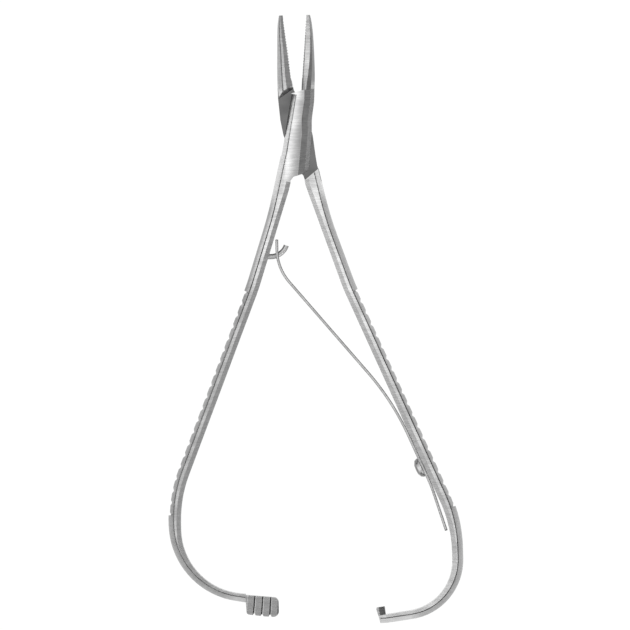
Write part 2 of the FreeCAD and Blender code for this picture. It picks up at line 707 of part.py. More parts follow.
for face in (1, -1):
    polygon(foot, [(x, face * z) for x, z in ((0, cheek), (1.15, 3.3), (1.15, 4), (-4, 4), (-4, cheek))])
checked(pocket(tenon, foot, "jaw_foot", 16.0), False)

pawl_face = size["rack_face"] + size["pawl_play"]
pawl_base = FreeCAD.Placement(Vector(0, 0, pawl_face), FreeCAD.Rotation())
PAWL = [
    (22.4, -138.7, 0),
    (22.4, -141.0, 0),
    (20.5, -141.25, 0.5),
    (19.5, -140.35, 0.8),
    (18.6, -137.1, 0.3),
    (18.84, -136.72, 0.3),
    (21.09, -136.44, 0.3),
    (21.28, -138.9, 0.1),
]
pawl_sketch = draw(sketch_on(tenon, "pawl_outline", "XY_Plane", pawl_base), closed(PAWL))
pawl = tenon.newObject("PartDesign::Pad", "pawl")
pawl.Profile = pawl_sketch
pawl.Length = HALF - pawl_face
pawl.setExpression("Length", "sizes.body_depth / 2 - sizes.rack_face - sizes.pawl_play")
checked(pawl, True)
ridge_at = (19.88, -136.2)
ridge = sketch_on(tenon, "pawl_ridges", "XZ_Plane", across(ridge_at, 9.0, 1))
polygon(ridge, [
    (-2.2, 4.2), (-2.2, 2.3), (-0.65, 3.42), (0.05, 2.75), (0.3, 3.3), (1.0, 2.6), (2.0, 2.6), (2.0, 4.2),
])
ridge_cut = pocket(tenon, ridge, "pawl_ridge_cut", 5.4)
checked(ridge_cut, False)

checked(outer_edge(tenon, 1, RIGHT_OUTER), False)
checked(inner_edge(tenon, 1, RIGHT_INNER), False)
bore = circle_on(tenon, "tenon_bore_circle", None, "rivet_radius", size["rivet_play"])
checked(pocket(tenon, bore, "tenon_bore", THROUGH), False)

grip_run = Vector(RIGHT_KNEE[0] - RIGHT_START[0], RIGHT_KNEE[1] - RIGHT_START[1], 0).normalize()
grip_out = Vector(-grip_run.y, grip_run.x, 0)
side_turn = math.atan2(grip_run.x, -grip_run.y)
bend_along = Vector(*RIGHT_KNEE, 0).dot(grip_run) - size["right_bend"] * math.tan(side_turn / 2)
face_offset = Vector(RIGHT_START[0], RIGHT_START[1], 0).dot(grip_out) - size["grip_width"]
screw_point = grip_out * face_offset + grip_run * (bend_along - size["screw_back"])
thread = circle_on(tenon, "screw_seat_circle", placed(screw_point, (-grip_out.x, -grip_out.y)), "screw_shank")
screw_seat = pocket(tenon, thread, "screw_seat", size["screw_bite"], both=False, bound="sizes.screw_bite")
checked(screw_seat, False)
checked(scallops(tenon, 1, RIGHT_START, RIGHT_KNEE, size["right_bend"]), False)

# Pivot rivet, flush with both cheeks.

rivet = doc.addObject("Part::Cylinder", "pivot_rivet")
rivet.setExpression("Radius", "sizes.rivet_radius")
rivet.setExpression("Height", "sizes.body_depth")
rivet_place = FreeCAD.Placement(Vector(0, 0, -HALF), FreeCAD.Rotation())

# Leaf spring: a bent strip, screwed to the right grip, with a slot at its free end for the horn.

strip = doc.addObject("PartDesign::Body", "leaf_spring")
lie = face_offset - size["seat_gap"] - size["spring_thick"] / 2
strip_low = grip_out * lie + grip_run * (bend_along - size["tail_back"])
strip_high = grip_out * lie + grip_run * (bend_along - size["spring_lift"])
tail_run = FreeCAD.Rotation(Vector(0, 0, 1), -size["tail_turn"]).multVec(grip_run)
tail_end = strip_low + tail_run * size["tail_length"]
CENTRE = [
    (tail_end.x, tail_end.y, 0),
    (strip_low.x, strip_low.y, 40),
    (strip_high.x, strip_high.y, 73),
    (-6.8, -41.0, 14),
    (-6.7, -size["spring_reach"], 0),
]


def beside(corners, room):
    """Corners of a line that runs beside another, to its left for a positive distance."""
    result = []
    for index, (x, y, radius) in enumerate(corners):
        normals = []
        for a, b in ((index - 1, index), (index, index + 1)):
            if a >= 0 and b < len(corners):
                run = Vector(corners[b][0] - corners[a][0], corners[b][1] - corners[a][1], 0).normalize()
                normals.append(Vector(-run.y, run.x, 0))
        u, w = normals[0], normals[-1]
        shift = (u + w) * (room / (1 + u.dot(w)))
        turn = u.cross(w).z
        new_radius = radius - room if turn > 0 else radius + room
        result.append((x + shift.x, y + shift.y, new_radius if radius else 0))
    return result


thick = size["spring_thick"] / 2
ring = beside(CENTRE, thick) + list(reversed(beside(CENTRE, -thick)))
outline = draw(sketch_on(strip, "strip_outline", "XY_Plane"), closed(ring))
checked(pad(strip, outline, "strip_blank", size["spring_width"], "sizes.spring_width"), True)
wide = size["spring_width"] / 2
tip = size["spring_tip_width"] / 2
slot_high = -size["spring_reach"] - size["spring_bridge"]
slot_low = slot_high - size["spring_slot"]
taper_high = slot_low - 1.4
taper_low = taper_high - size["spring_taper"]
for sign, word in ((1, "front"), (-1, "back")):
    wedge = sketch_on(strip, f"taper_{word}", "YZ_Plane")
    points = [(taper_low, wide), (taper_high, tip), (0, tip), (0, 2 * wide), (taper_low, 2 * wide)]
    polygon(wedge, [(y, sign * z) for y, z in points])
    checked(pocket(strip, wedge, f"strip_taper_{word}", 3 * size["right_reach"]), False)
window = sketch_on(strip, "slot_outline", "YZ_Plane")
side = size["spring_slot_width"] / 2
corner = 0.9 * side
draw(window, closed([(y, z, corner) for y, z in (
    (slot_low, side), (slot_high, side), (slot_high, -side), (slot_low, -side),
)]))
checked(pocket(strip, window, "strip_slot", 30.0), False)
hole_place = placed(screw_point, (grip_out.x, grip_out.y))
hole = circle_on(strip, "screw_hole_circle", hole_place, "screw_shank", size["hole_room"])
checked(pocket(strip, hole, "screw_hole", 4.0), False)

# Spring screw: a domed, slotted head on the strip and a threaded part in the grip.

screw = doc.addObject("PartDesign::Body", "spring_screw")
under = size["seat_gap"] + size["spring_thick"] + size["head_gap"]
rise = size["screw_dome"]
head = size["screw_head"]
profile = sketch_on(screw, "screw_profile", "XZ_Plane")
dome = [(1.0, 0.2), (0.86, 0.62), (0.5, 0.92), (0, 1.0)]
polygon(profile, [
    (0, -size["screw_bite"]),
    (size["screw_shank"], -size["screw_bite"]),
    (size["screw_shank"], under),
    (head, under),
    *[(head * out, under + rise * up) for out, up in dome],
])
spin = screw.newObject("PartDesign::Revolution", "screw_turned")
spin.Profile = profile
spin.ReferenceAxis = (origin_plane(screw, "Z_Axis"), [""])
spin.Angle = 360
checked(spin, True)
slot_level = FreeCAD.Placement(Vector(0, 0, under + rise), FreeCAD.Rotation())
cut = sketch_on(screw, "screw_slot_outline", "XY_Plane", slot_level)
past, beside_slot = 1.5 * head, size["screw_slot"] / 2
polygon(cut, [(-past, -beside_slot), (past, -beside_slot), (past, beside_slot), (-past, beside_slot)])
checked(pocket(screw, cut, "screw_slot", size["screw_slot_depth"], both=False), False)

# Retaining horn: a bent wire set in the left shank, through the slot of the spring.

horn = doc.addObject("PartDesign::Body", "spring_horn")
WIRE_SIDES = 16
side_angles = [2 * math.pi * index / WIRE_SIDES for index in range(WIRE_SIDES)]
wire_ring = [(size["horn_radius"] * math.cos(a), size["horn_radius"] * math.sin(a)) for a in side_angles]
root = polygon(sketch_on(horn, "horn_root", "XY_Plane", placed(HORN_ROOT, (1, 0))), wire_ring)
stem = horn.newObject("PartDesign::Pad", "horn_straight")
stem.Profile = root
stem.setExpression("Length", "sizes.horn_stem")
checked(stem, True)
bend_start = (HORN_ROOT[0] + size["horn_stem"], HORN_ROOT[1])
bend_ring = polygon(sketch_on(horn, "horn_section", "XY_Plane", placed(bend_start, (1, 0))), wire_ring)
axis = Part.LineSegment(Vector(size["horn_bend"], -1, 0), Vector(size["horn_bend"], 1, 0))
bend_ring.addGeometry(axis, True)
bend = horn.newObject("PartDesign::Revolution", "horn_curve")
bend.Profile = bend_ring
bend.ReferenceAxis = (bend_ring, ["Axis0"])
bend.setExpression("Angle", "sizes.horn_angle")
checked(bend, True)

# Everything is moved together: the middle of the plan goes to the origin, and the back face to the ground.

doc.recompute()
pieces = [box, tenon, strip, screw, horn, rivet]
lean = FreeCAD.Rotation(grip_run, Vector(0, 0, 1), -grip_out, "ZXY")
own = {
    screw: FreeCAD.Placement(screw_point, lean),
    rivet: rivet_place,
}
low = Vector(1e9, 1e9, 0)
top = Vector(-1e9, -1e9, 0)
for piece in pieces:
    piece.Placement = own.get(piece, FreeCAD.Placement())
doc.recompute()
for piece in pieces:
    bounds = piece.Shape.optimalBoundingBox()
    low = Vector(min(low.x, bounds.XMin), min(low.y, bounds.YMin), 0)
    top = Vector(max(top.x, bounds.XMax), max(top.y, bounds.YMax), 0)
centre = (low + top) * 0.5
moved = FreeCAD.Placement(Vector(-centre.x, -centre.y, HALF), FreeCAD.Rotation())
for piece in pieces:
    piece.Placement = moved * own.get(piece, FreeCAD.Placement())
doc.recompute()
print(f"pivot at {-centre.x:.4f}, {-centre.y:.4f}, {HALF:.4f} mm")

os.makedirs("parts", exist_ok=True)
for item in doc.Objects:
    if "Invalid" in item.State or "Error" in item.State:
        raise RuntimeError(f"{item.Name}: {item.State}")
for piece, label in zip(pieces, (
    "box_half", "tenon_half", "leaf_spring", "spring_screw", "spring_horn", "pivot_rivet",
)):
    piece.Label = label
    shape = piece.Shape
    if shape.isNull() or not shape.isValid():
        raise RuntimeError(f"{label} is not a valid solid")
    if len(shape.Solids) != 1:
        raise RuntimeError(f"{label} has {len(shape.Solids)} solids")
    shape.exportStep(f"parts/{label}.step")
    print(label, round(shape.Volume, 1), shape.BoundBox)
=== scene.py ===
import json
import math

import bpy
import numpy as np
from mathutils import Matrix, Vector


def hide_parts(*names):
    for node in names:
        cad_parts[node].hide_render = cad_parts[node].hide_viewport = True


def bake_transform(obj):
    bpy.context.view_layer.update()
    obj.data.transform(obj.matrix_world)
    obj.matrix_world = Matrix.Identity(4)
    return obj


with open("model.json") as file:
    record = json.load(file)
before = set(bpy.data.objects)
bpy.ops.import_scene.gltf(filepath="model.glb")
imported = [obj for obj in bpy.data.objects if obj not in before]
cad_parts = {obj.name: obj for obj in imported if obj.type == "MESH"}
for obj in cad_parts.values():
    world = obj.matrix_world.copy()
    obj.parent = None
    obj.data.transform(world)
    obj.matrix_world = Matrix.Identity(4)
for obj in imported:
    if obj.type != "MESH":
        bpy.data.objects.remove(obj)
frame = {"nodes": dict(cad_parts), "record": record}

bl_info = {
    "name": "Needle holder dressing",
    "version": (1, 0, 0),
    "blender": (4, 5, 0),
    "location": "3D View > Sidebar > Needle holder",
    "description": "Dresses the packed needle holder in brushed and polished steel and lights it",
    "category": "Object",
}

MM = 0.001
PIVOT = Vector(frame["record"]["behaviour"]["joints"][0]["pos_m"])

# The spring's middle line, seen from the front: (x, y, bend radius) in millimetres from the pivot.
SPRING_CORNERS = (
    (38.8, -115.7, 0),
    (34.91, -103.06, 40),
    (24.72, -79.15, 73),
    (-6.8, -41.0, 14),
    (-6.7, -33.0, 0),
)
SPRING_POINT_SPACING = 0.5
SPRING_EASED_EDGE = 0.12
# Millimetres below the pivot, between which the spring's width grows, and between which its slot is open.
SPRING_TAPER = (42.0, 88.0)
SPRING_SLOT = (35.0, 40.6)

# The belt's streaks are noise with these scales in x, y and z, for a grain of 1: the smaller, the longer.
# Their bump is this deep, and the colour takes this share of the grey.
STREAK_STRETCH = (0.12, 1.0, 0.5)
STREAK_DETAIL = 3.0
STREAK_ROUGHNESS = 0.6
STREAK_DEPTH_MM = 0.02
STREAK_SHARE = 0.42
STREAK_GREY = "#989898"
# The steel is rougher and smoother by this much in patches of this size.
PATCH_MM = 6.0
PATCH_DETAIL = 2.0
PATCH_SPREAD = 0.05
# The middle of a noise's values, between which a streak or a patch goes from nothing to full.
NOISE_MIDDLE = (0.3, 0.7)

# Colours for painted shade, for the coarser grind of the lower handles, for painted shade in grooves, and for
# painted highlights.
PAINTED_SHADE_GREY = "#6C6C6C"
COARSE = "#8E8E8E"
GROOVE_SHADE = "#3C3C3C"
BRIGHT = "#FFFFFF"
COARSE_ROUGHNESS = 0.3
BAND_ROUGHNESS = 0.36

# Spans along the instrument in which painted shade, painted highlights or the coarser grind come or go, in
# millimetres from the pivot.
BOX_HANDLE_TOP = (-54.0, -38.0)
BOX_SHANK = ((-60.0, -50.0), (-26.0, -18.0))
BOX_FACE = ((-21.0, -15.0), (10.0, 13.0))
BOX_JAW_ROOT = (9.0, 12.0)
TENON_WEAR_TOP = (-75.0, -45.0)
TENON_HANDLE_TOP = (-24.0, -18.0)
TENON_JAW_ROOT = (8.0, 10.0)
TENON_SHADED_SPAN = (-17.0, 9.5)

# Spans of how far a surface faces right, from -1 to 1, in which it turns from a flat into a side or a slope.
BOX_HANDLE_OUTER = (-0.35, -0.05)
BOX_HANDLE_INNER = (0.1, 0.4)
BOX_SHANK_OUTER = (-0.92, -0.7)
BOX_JAW_OUTER = (0.5, 0.8)
TENON_HANDLE_OUTER = (0.05, 0.35)
TENON_JAW_INNER = (0.2, 0.5)
TENON_JAW_OUTER = (-0.35, -0.05)
# Spans of how far a surface faces the front, in which a wall becomes a slope and a round edge gets its painted
# highlight.
WALL_TO_SLOPE = (0.3, 0.6)
POLISHED_BAND = (0.66, 0.88)

# The edges of the box's face: how far each leans right for a millimetre up, and its place right of the pivot.
FACE_LEFT_EDGE = (0.149, -1.6)
FACE_RIGHT_EDGE = (0.1, 1.3)
# Millimetres right of an edge, in which the face's painted sheen starts, its painted shade darkens it, and it
# ends.
FACE_START = (-0.4, 0.0)
FACE_DARKENS = (0.0, 3.4)
FACE_END = (-0.05, 0.05)
# The shares of the painted sheen by the face's left edge and of the painted shade that darkens it to the right.
FACE_SHEEN = 0.35
FACE_FALL = 0.7

# The rack's grooves lie within these x, y and z, in millimetres from the pivot, and don't face along it.
GROOVE_ACROSS = (-18.8, 20.0)
GROOVE_ALONG = (-160.0, -131.0)
GROOVE_LEVELS = (-0.4, 0.36)
GROOVE_FACES_ALONG = (-0.5, 0.5)
# The tenon's two faces lie within these z, in millimetres from the pivot.
TENON_LEVELS = (-1.45, 1.45)

# The floor reaches this many metres each way. It glows this brightly, by this share, where it is seen.
WHITE = "#FFFFFF"
FLOOR_HALF = 3.0
PAPER_GLOW = 1.1
PAPER_GLOW_SHARE = 0.9
# Each light's name, its power setting, its size and its place, in metres.
LAMPS = (
    ("overhead_softbox", "key_power", 1.3, (-0.2, 0.15, 2.9)),
    ("low_fill", "fill_power", 0.8, (-1.6, -0.9, 1.0)),
    ("low_card", "card_power", 0.8, (1.1, -1.5, 0.8)),
)
# The studio's level goes from left to right between directions that point this far to either side.
STUDIO_EDGE = 0.9

# The camera's distance from the front face and its clipping distances are in metres.
CAMERA_DISTANCE = 2.2
CAMERA_SENSOR_MM = 36
CAMERA_CLIP = (0.05, 20)
CAMERA_ROLL_DEGREES = -1.4
FRAME_WIDTH_MM = 176.4
# The middle of the photograph, in millimetres from the pivot.
FRAME_MIDDLE = (3.49, -54.42, 3.5)


def hex_to_linear(code):
    """sRGB hex code to linear red, green, blue and full alpha."""
    channels = [int(code[i:i + 2], 16) / 255 for i in (1, 3, 5)]
    linear = [c / 12.92 if c <= 0.04045 else ((c + 0.055) / 1.055) ** 2.4 for c in channels]
    return (*linear, 1.0)


def add_node(tree, kind, settings):
    """One shader node: each setting is a property, a socket's value or another node's socket to link."""
    node = tree.nodes.new(kind)
    for name, value in settings.items():
        if isinstance(value, bpy.types.NodeSocket):
            tree.links.new(value, node.inputs[name])
        elif isinstance(name, str) and hasattr(node, name):
            setattr(node, name, value)
        else:
            node.inputs[name].default_value = value
    return node


def new_material(name):
    """A material with an empty node tree."""
    material = bpy.data.materials.new(name)
    material.use_nodes = True
    material.node_tree.nodes.clear()
    return material, material.node_tree


def fade(tree, value, span, start=0.0, end=1.0):
    """A mask that goes smoothly from start to end while value goes along span."""
    settings = {"interpolation_type": "SMOOTHSTEP", "From Min": span[0], "From Max": span[1]}
    settings |= {"To Min": start, "To Max": end, "Value": value}
    return add_node(tree, "ShaderNodeMapRange", settings).outputs[0]


def between(tree, value, span):
    """A mask that is 1 where value lies within span, and 0 elsewhere."""
    low, high = span
    settings = {"operation": "COMPARE", 0: value, 1: (low + high) / 2, 2: (high - low) / 2}
    return add_node(tree, "ShaderNodeMath", settings).outputs[0]


def stretch(tree, y, bottom, top):
    """Two masks that together hold between two spans along the instrument."""
    return [fade(tree, y, bottom), fade(tree, y, top, 1.0, 0.0)]


def towards(tree, shade, colour, masks, share=1.0):
    """A shade, as a socket or a hex code, taken towards a colour by a share where all the masks hold."""
    factor = share
    for mask in masks:
        factor = add_node(tree, "ShaderNodeMath", {"operation": "MULTIPLY", 0: mask, 1: factor}).outputs[0]
    first = hex_to_linear(shade) if isinstance(shade, str) else shade
    settings = {"data_type": "RGBA", 0: factor, 6: first, 7: hex_to_linear(colour)}
    return add_node(tree, "ShaderNodeMix", settings).outputs[2]


def rougher(tree, rough, mask, amount):
    """A roughness, raised by an amount where the mask holds."""
    settings = {"operation": "MULTIPLY_ADD", 0: mask, 1: amount, 2: rough}
    return add_node(tree, "ShaderNodeMath", settings).outputs[0]


def from_pivot(tree):
    """Sockets for x, y and z from the pivot, in millimetres, in the part's own coordinates."""
    coordinates = add_node(tree, "ShaderNodeTexCoord", {}).outputs["Object"]
    settings = {"Location": -PIVOT / MM, "Scale": (1 / MM, 1 / MM, 1 / MM), "Vector": coordinates}
    centred = add_node(tree, "ShaderNodeMapping", settings).outputs[0]
    return add_node(tree, "ShaderNodeSeparateXYZ", {0: centred}).outputs[:3]


def right_of(tree, x, y, edge):
    """How far a point lies right of an edge: x, less the edge's lean times y, less its place at the pivot."""
    lean, place = edge
    level = add_node(tree, "ShaderNodeMath", {"operation": "MULTIPLY_ADD", 0: y, 1: -lean, 2: x}).outputs[0]
    return add_node(tree, "ShaderNodeMath", {"operation": "SUBTRACT", 0: level, 1: place}).outputs[0]


def facing(tree):
    """Sockets for how far a surface faces right, towards the jaws, and out of the front."""
    normal = add_node(tree, "ShaderNodeNewGeometry", {}).outputs["Normal"]
    return add_node(tree, "ShaderNodeSeparateXYZ", {0: normal}).outputs[:3]


def not_a_wall(tree, front):
    """A mask for faces and slopes, on the front and on the back, that leaves out upright walls."""
    level = add_node(tree, "ShaderNodeMath", {"operation": "ABSOLUTE", 0: front}).outputs[0]
    return fade(tree, level, WALL_TO_SLOPE)


def steel(name, colour, roughness, grain, grain_depth, unevenness=1.0, grind_and_painted_light=None):
    """Stainless steel with the scratches of a belt: streaks across the instrument that lie a grain apart.

    Its colour is streaked and its roughness patchy as far as unevenness says, from 0 to 1. The function given
    last changes the two with a coarser grind and with painted shade and painted highlights by place and facing.
    Real scratches are finer. These are coarse enough to show.
    """
    material, tree = new_material(name)
    coordinates = add_node(tree, "ShaderNodeTexCoord", {}).outputs["Object"]
    settings = {"Scale": [factor / grain for factor in STREAK_STRETCH], "Vector": coordinates}
    stretched = add_node(tree, "ShaderNodeMapping", settings).outputs[0]
    settings = {"Scale": 1.0, "Detail": STREAK_DETAIL, "Roughness": STREAK_ROUGHNESS, "Vector": stretched}
    streaks = add_node(tree, "ShaderNodeTexNoise", settings).outputs["Fac"]
    settings = {"Scale": 1 / (PATCH_MM * MM), "Detail": PATCH_DETAIL, "Vector": coordinates}
    patches = add_node(tree, "ShaderNodeTexNoise", settings).outputs["Fac"]
    spread = PATCH_SPREAD * unevenness
    rough = fade(tree, patches, NOISE_MIDDLE, roughness - spread, roughness + spread)
    streak = fade(tree, streaks, NOISE_MIDDLE)
    shade = towards(tree, colour, STREAK_GREY, [streak], STREAK_SHARE * unevenness)
    if grind_and_painted_light:
        shade, rough = grind_and_painted_light(tree, shade, rough)
    settings = {"Strength": grain_depth, "Distance": STREAK_DEPTH_MM * MM, "Height": streaks}
    bump = add_node(tree, "ShaderNodeBump", settings).outputs[0]
    settings = {"Metallic": 1.0, "Base Color": shade, "Roughness": rough, "Normal": bump}
    shader = add_node(tree, "ShaderNodeBsdfPrincipled", settings).outputs[0]
    add_node(tree, "ShaderNodeOutputMaterial", {"Surface": shader})
    return material


def worn_handle(tree, y, shade, rough, top, wear):
    """Below the shank a handle is ground coarser and duller than the parts near the box."""
    low = fade(tree, y, top, 1.0, 0.0)
    return towards(tree, shade, COARSE, [low], wear), rougher(tree, rough, low, wear * COARSE_ROUGHNESS)


def box_grind_and_painted_light(tree, shade, rough):
    """The box half: painted shade on the outer sides of handle, shank and jaw, a painted highlight on the
    handle's inner slope.

    Painted shade darkens the box's face from left to right after a painted sheen by its left edge, dulls its
    facets, and darkens the rack's grooves.
    """
    x, y, z = from_pivot(tree)
    right, along, front = facing(tree)
    shade, rough = worn_handle(tree, y, shade, rough, BOX_HANDLE_TOP, wear=0.26)
    # Painted shade on the handle's outer side, and a painted highlight on its inner slope.
    handle = fade(tree, y, BOX_HANDLE_TOP, 1.0, 0.0)
    outer = fade(tree, right, BOX_HANDLE_OUTER, 1.0, 0.0)
    shade = towards(tree, shade, PAINTED_SHADE_GREY, [handle, outer], share=0.45)
    inner = fade(tree, right, BOX_HANDLE_INNER)
    shade = towards(tree, shade, BRIGHT, [handle, not_a_wall(tree, front), inner], share=0.95)
    # Painted shade on the outer sides of the shank and of the jaw.
    outer = fade(tree, right, BOX_SHANK_OUTER, 1.0, 0.0)
    shade = towards(tree, shade, PAINTED_SHADE_GREY, [*stretch(tree, y, *BOX_SHANK), outer], share=0.7)
    outer = fade(tree, right, BOX_JAW_OUTER)
    shade = towards(tree, shade, PAINTED_SHADE_GREY, [fade(tree, y, BOX_JAW_ROOT), outer], share=0.7)

    # The box's face: a painted sheen by its left edge, painted shade that darkens it to the right, and painted
    # shade on its facets.
    on_box = stretch(tree, y, *BOX_FACE)
    past_face = right_of(tree, x, y, FACE_RIGHT_EDGE)
    face = [*on_box, fade(tree, past_face, FACE_END, 1.0, 0.0)]
    across = right_of(tree, x, y, FACE_LEFT_EDGE)
    fall = fade(tree, across, FACE_DARKENS, 0.0, FACE_FALL)
    settings = {"operation": "SUBTRACT", "use_clamp": True, 0: FACE_SHEEN, 1: fall}
    sheen = add_node(tree, "ShaderNodeMath", settings).outputs[0]
    shade = towards(tree, shade, BRIGHT, [*face, sheen, fade(tree, across, FACE_START)])
    shade = towards(tree, shade, PAINTED_SHADE_GREY, [*face, fall])
    shade = towards(tree, shade, PAINTED_SHADE_GREY, [*on_box, fade(tree, past_face, FACE_END)], share=0.25)

    # Painted shade in the rack's grooves.
    grooves = [
        between(tree, x, GROOVE_ACROSS),
        between(tree, y, GROOVE_ALONG),
        between(tree, z, GROOVE_LEVELS),
        between(tree, along, GROOVE_FACES_ALONG),
    ]
    return towards(tree, shade, GROOVE_SHADE, grooves), rough


def tenon_grind_and_painted_light(tree, shade, rough):
    """The half with the tenon: painted shade darkens its two faces, from its lower to its upper shoulder.

    Painted shade darkens the outer sides of its handle and jaw, and a painted highlight lightens the jaw's
    inner slope.
    """
    _, y, z = from_pivot(tree)
    right, _, front = facing(tree)
    shade, rough = worn_handle(tree, y, shade, rough, TENON_WEAR_TOP, wear=0.12)
    # Painted shade on the handle's outer side.
    handle = fade(tree, y, TENON_HANDLE_TOP, 1.0, 0.0)
    shade = towards(tree, shade, PAINTED_SHADE_GREY, [handle, fade(tree, right, TENON_HANDLE_OUTER)], share=0.5)
    # A painted highlight on the jaw's inner slope, and painted shade on its outer side.
    jaw = fade(tree, y, TENON_JAW_ROOT)
    inner = fade(tree, right, TENON_JAW_INNER)
    shade = towards(tree, shade, BRIGHT, [jaw, not_a_wall(tree, front), inner], share=0.8)
    outer = fade(tree, right, TENON_JAW_OUTER, 1.0, 0.0)
    shade = towards(tree, shade, PAINTED_SHADE_GREY, [jaw, outer], share=0.45)
    # Painted shade on the tenon's two faces.
    shaded = [between(tree, y, TENON_SHADED_SPAN), between(tree, z, TENON_LEVELS)]
    return towards(tree, shade, PAINTED_SHADE_GREY, shaded), rough


def polished_painted_highlight(tree, shade, rough):
    """Polished and round: a broad, soft painted highlight where it faces the front, and the darker base grey
    left at the edges as painted shade.
    """
    _, _, front = facing(tree)
    band = fade(tree, front, POLISHED_BAND)
    return towards(tree, shade, BRIGHT, [band]), rougher(tree, rough, band, BAND_ROUGHNESS)


def dress(node_name, material):
    """Gives a CAD node its material."""
    node = frame["nodes"][node_name]
    node.data.materials.clear()
    node.data.materials.append(material)
    return node


def finished(obj, material):
    """Links a new piece to the scene with its material."""
    bpy.context.scene.collection.objects.link(obj)
    obj.data.materials.append(material)


def straight(a, b, spacing):
    """Evenly spaced points from a to b."""
    count = max(2, round(float(np.linalg.norm(b - a)) / spacing))
    return a + (b - a) * np.linspace(0, 1, count)[:, None]


def rounded_path(corners, spacing):
    """Points along straight stretches that are joined by tangent arcs, for corners (x, y, radius).

    An arc starts its radius times the tangent of half its turn before the corner, and runs round its centre.
    """
    spots = [np.array(corner[:2], float) for corner in corners]
    radii = [corner[2] for corner in corners[1:]]
    parts, start = [], spots[0]
    for before, here, after, radius in zip(spots, spots[1:], spots[2:], radii):
        u = (here - before) / np.linalg.norm(here - before)
        w = (after - here) / np.linalg.norm(after - here)
        turn = math.atan2(u[0] * w[1] - u[1] * w[0], u @ w)
        side = math.copysign(1.0, turn)
        first = here - u * radius * math.tan(abs(turn) / 2)
        centre = first + side * radius * np.array([-u[1], u[0]])
        angles = np.linspace(0, turn, max(2, round(radius * abs(turn) / spacing)))[:, None]
        spoke = first - centre
        across = np.array([-spoke[1], spoke[0]])
        arc = centre + spoke * np.cos(angles) + across * np.sin(angles)
        parts += [straight(start, first, spacing), arc]
        start = arc[-1]
    parts.append(straight(start, spots[-1], spacing))
    return np.concatenate([part[:-1] for part in parts] + [parts[-1][-1:]])


def sheet_mesh(name, points, keep):
    """Quads between the rows and columns of a grid of points, only where keep is true."""
    rows, columns, _ = points.shape
    corner = np.arange(rows * columns).reshape(rows, columns)
    quads = np.stack([corner[:-1, :-1], corner[:-1, 1:], corner[1:, 1:], corner[1:, :-1]], axis=-1)[keep]
    mesh = bpy.data.meshes.new(name)
    mesh.from_pydata(points.reshape(-1, 3).tolist(), [], quads.tolist())
    mesh.update()
    return mesh


class StageSettings(bpy.types.PropertyGroup):
    floor_colour: bpy.props.StringProperty(
        name="Floor", description="sRGB hex colour of the floor", default="#F7F7F7"
    )
    key_power: bpy.props.FloatProperty(
        name="Overhead softbox", description="Power of the softbox above", default=6.2, unit="POWER"
    )
    fill_power: bpy.props.FloatProperty(
        name="Fill", description="Power of the low light from the left", default=2.0, unit="POWER"
    )
    card_power: bpy.props.FloatProperty(
        name="Card", description="Power of the low light from the front right", default=3.5, unit="POWER"
    )
    surround_left: bpy.props.FloatProperty(
        name="Surround, left", description="Level of the studio on the instrument's left", default=0.5
    )
    surround_right: bpy.props.FloatProperty(
        name="Surround, right", description="Level of the studio on the instrument's right", default=0.22
    )


class SteelSettings(bpy.types.PropertyGroup):
    satin_colour: bpy.props.StringProperty(
        name="Satin steel", description="sRGB hex colour of the forged halves", default="#E4E4E4"
    )
    satin_roughness: bpy.props.FloatProperty(
        name="Satin roughness", description="Roughness of halves and spring", default=0.3, subtype="FACTOR"
    )
    # The grey at the edges of horn and screw is darker than the steel's own, as painted shade.
    polished_colour: bpy.props.StringProperty(
        name="Polished steel", description="sRGB hex colour of horn and screw at their edges", default="#808080"
    )
    polished_roughness: bpy.props.FloatProperty(
        name="Polished roughness", description="Roughness of these edges", default=0.12, subtype="FACTOR"
    )
    spring_colour: bpy.props.StringProperty(
        name="Spring steel", description="sRGB hex colour of the leaf spring", default="#C8C8C8"
    )
    grain: bpy.props.FloatProperty(
        name="Grain", description="Distance between the belt's scratches", default=0.36 * MM, unit="LENGTH"
    )


class SpringSettings(bpy.types.PropertyGroup):
    thickness: bpy.props.FloatProperty(
        name="Thickness", description="Thickness of the spring's strip", default=0.8 * MM, unit="LENGTH"
    )
    width: bpy.props.FloatProperty(
        name="Width", description="Width of the strip at its screw", default=4.6 * MM, unit="LENGTH"
    )
    tip_width: bpy.props.FloatProperty(
        name="Tip width", description="Width of the strip at its free end", default=3.4 * MM, unit="LENGTH"
    )
    slot_width: bpy.props.FloatProperty(
        name="Slot width", description="Width of the slot for the horn", default=2.0 * MM, unit="LENGTH"
    )


